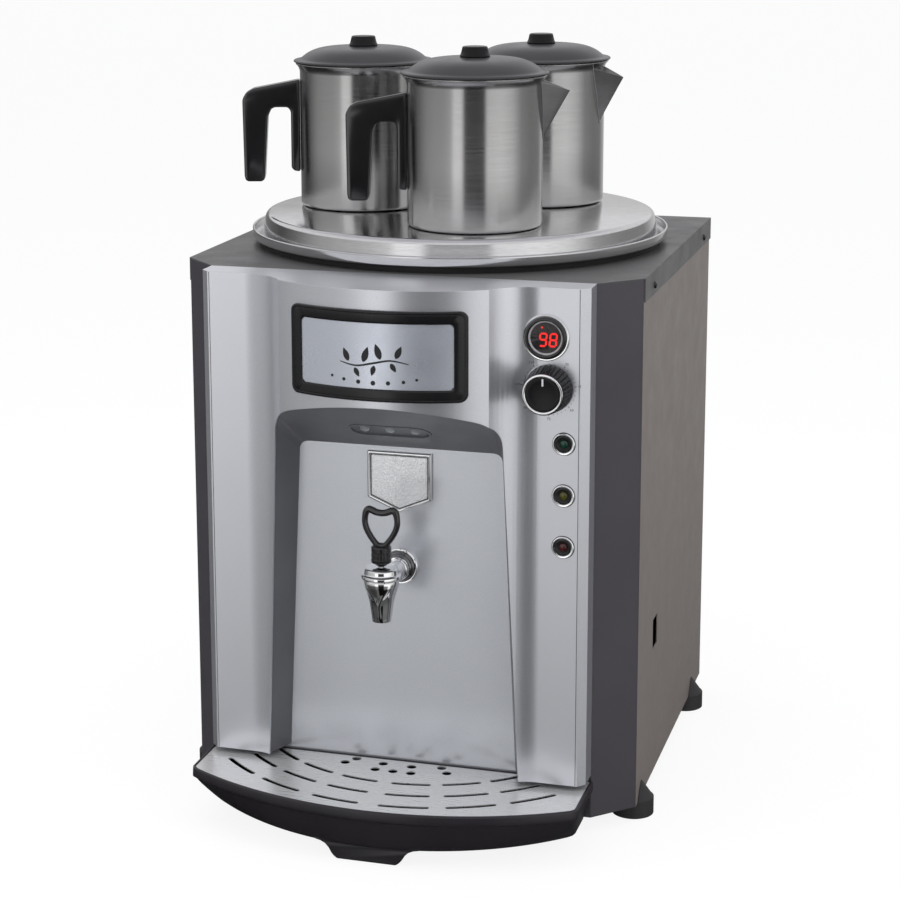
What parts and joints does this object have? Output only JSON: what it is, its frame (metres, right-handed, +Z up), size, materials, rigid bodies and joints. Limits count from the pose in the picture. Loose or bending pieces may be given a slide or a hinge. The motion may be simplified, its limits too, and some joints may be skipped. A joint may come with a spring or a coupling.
{
  "type": "hot water urn",
  "caption": "Counter-top hot water urn with a sprung tap, dial, pilot lamps, drip tray and a warming plate that carries lidded teapots.",
  "frame": {"origin": "middle of the footprint on the surface it stands on", "axes": "+Z up, -Y towards the user and the tap, +X to the user's right"},
  "size_m": [0.462, 0.5576, 0.7211],
  "materials": {
    "taupe_paint": "satin paint on sheet steel",
    "dark_paint": "satin dark grey paint on sheet steel",
    "cover_paint": "satin grey paint on sheet steel",
    "silver_moulding": "silver paint on a moulding",
    "liner_plastic": "dark grey satin moulding",
    "brushed_steel": "brushed stainless steel",
    "tank_steel": "plain stainless steel",
    "zinc_steel": "zinc plated steel",
    "chrome": "polished chrome plate",
    "black_plastic": "black phenolic plastic",
    "black_matte": "black satin plastic",
    "rubber": "black rubber",
    "silicone": "silicone rubber",
    "red_rubber": "red rubber washer",
    "sign_silver": "silver printed card behind clear film",
    "lens_dark": "smoked red lens",
    "lamp_green": "green lamp lens, unlit",
    "lamp_yellow": "yellow lamp lens, unlit",
    "lamp_red": "red lamp lens, unlit",
    "lamp_clear": "clear lamp domes",
    "lid_paint": "dark grey satin coating on steel",
    "brass": "turned brass",
    "wool": "mineral wool blanket",
    "porcelain": "unglazed steatite",
    "controller": "moulded switch body with copper capillary"
  },
  "bodies": {
    "root": {"base_pan": "zinc_steel", "side_panel_left": "taupe_paint", "side_panel_right": "taupe_paint", "rear_panel": "taupe_paint", "front_panel": "dark_paint", "bay_back_plate": "brushed_steel", "top_cover": "cover_paint", "panel_screws": "black_matte", "feet": "rubber", "foot_screws": "zinc_steel", "fascia": "silver_moulding", "bay_liner": "liner_plastic", "sign_frame": "black_matte", "sign_panel": "sign_silver", "led_housing": "liner_plastic", "led_lamps": "lamp_clear", "gauge_bezel": "black_plastic", "gauge_lens": "lens_dark", "gauge_module": "black_matte", "thermostat": "controller", "lamp_bezels": "chrome", "lamp_green": "lamp_green", "lamp_yellow": "lamp_yellow", "lamp_red": "lamp_red", "badge": "chrome", "tap_rosette": "chrome", "tap_gasket": "red_rubber", "tap_body": "chrome", "tap_bonnet": "chrome", "tap_spring": "zinc_steel", "tap_nut": "brass", "tank": "tank_steel", "tank_insulation": "wool", "tank_seal": "rubber", "heating_element": "tank_steel", "limit_thermostat": "black_matte", "terminal_block": "porcelain", "cable_gland": "black_matte"},
    "plate": {"top_plate": "brushed_steel"},
    "tray": {"drip_tray": "black_matte"},
    "grate": {"tray_grate": "brushed_steel"},
    "dial": {"knob": "black_plastic", "knob_ring": "chrome", "thermostat_spindle": "zinc_steel"},
    "lever": {"tap_lever": "black_plastic", "tap_pin": "zinc_steel"},
    "stem": {"tap_stem": "zinc_steel", "tap_seat_cup": "silicone"},
    "pot_front": {"front_pot": "brushed_steel", "front_pot_handle": "black_plastic"},
    "lid_front": {"front_pot_lid": "lid_paint", "front_pot_knob": "black_plastic"},
    "pot_left": {"left_pot": "brushed_steel", "left_pot_handle": "black_plastic"},
    "lid_left": {"left_pot_lid": "lid_paint", "left_pot_knob": "black_plastic"},
    "pot_right": {"right_pot": "brushed_steel", "right_pot_handle": "black_plastic"},
    "lid_right": {"right_pot_lid": "lid_paint", "right_pot_knob": "black_plastic"}
  },
  "joints": [
    {"name": "plate_lift", "type": "slide", "parent": "root", "child": "plate", "axis": [0, 0, 1], "range_m": [0, 0.08]},
    {"name": "tray_slide", "type": "slide", "parent": "root", "child": "tray", "axis": [0, -1, 0], "range_m": [0, 0.15]},
    {"name": "grate_lift", "type": "slide", "parent": "tray", "child": "grate", "axis": [0, 0, 1], "range_m": [0, 0.004]},
    {"name": "knob_turn", "type": "hinge", "parent": "root", "child": "dial", "pos_m": [0.147, -0.18285, 0.431], "axis": [0, 1, 0], "range_deg": [0, 290]},
    {"name": "lever_pull", "type": "hinge", "parent": "root", "child": "lever", "pos_m": [0, -0.21385, 0.2716], "axis": [1, 0, 0], "range_deg": [0, 30], "stiffness_Nm_per_rad": 0.05, "springref_deg": -17.19},
    {"name": "stem_rise", "type": "slide", "parent": "root", "child": "stem", "axis": [0, 0, 1], "range_m": [0, 0.004], "deforming": ["tap_spring"]},
    {"name": "front_pot_lift", "type": "slide", "parent": "plate", "child": "pot_front", "axis": [0, 0, 1], "range_m": [0, 0.1]},
    {"name": "front_lid_lift", "type": "slide", "parent": "pot_front", "child": "lid_front", "axis": [0, 0, 1], "range_m": [0, 0.06]},
    {"name": "left_pot_lift", "type": "slide", "parent": "plate", "child": "pot_left", "axis": [0, 0, 1], "range_m": [0, 0.1]},
    {"name": "left_lid_lift", "type": "slide", "parent": "pot_left", "child": "lid_left", "axis": [0, 0, 1], "range_m": [0, 0.06]},
    {"name": "right_pot_lift", "type": "slide", "parent": "plate", "child": "pot_right", "axis": [0, 0, 1], "range_m": [0, 0.1]},
    {"name": "right_lid_lift", "type": "slide", "parent": "pot_right", "child": "lid_right", "axis": [0, 0, 1], "range_m": [0, 0.06]}
  ],
  "couplings": [
    {"joint": "stem_rise", "follows": "lever_pull", "m_per_rad": 0.0076}
  ]
}
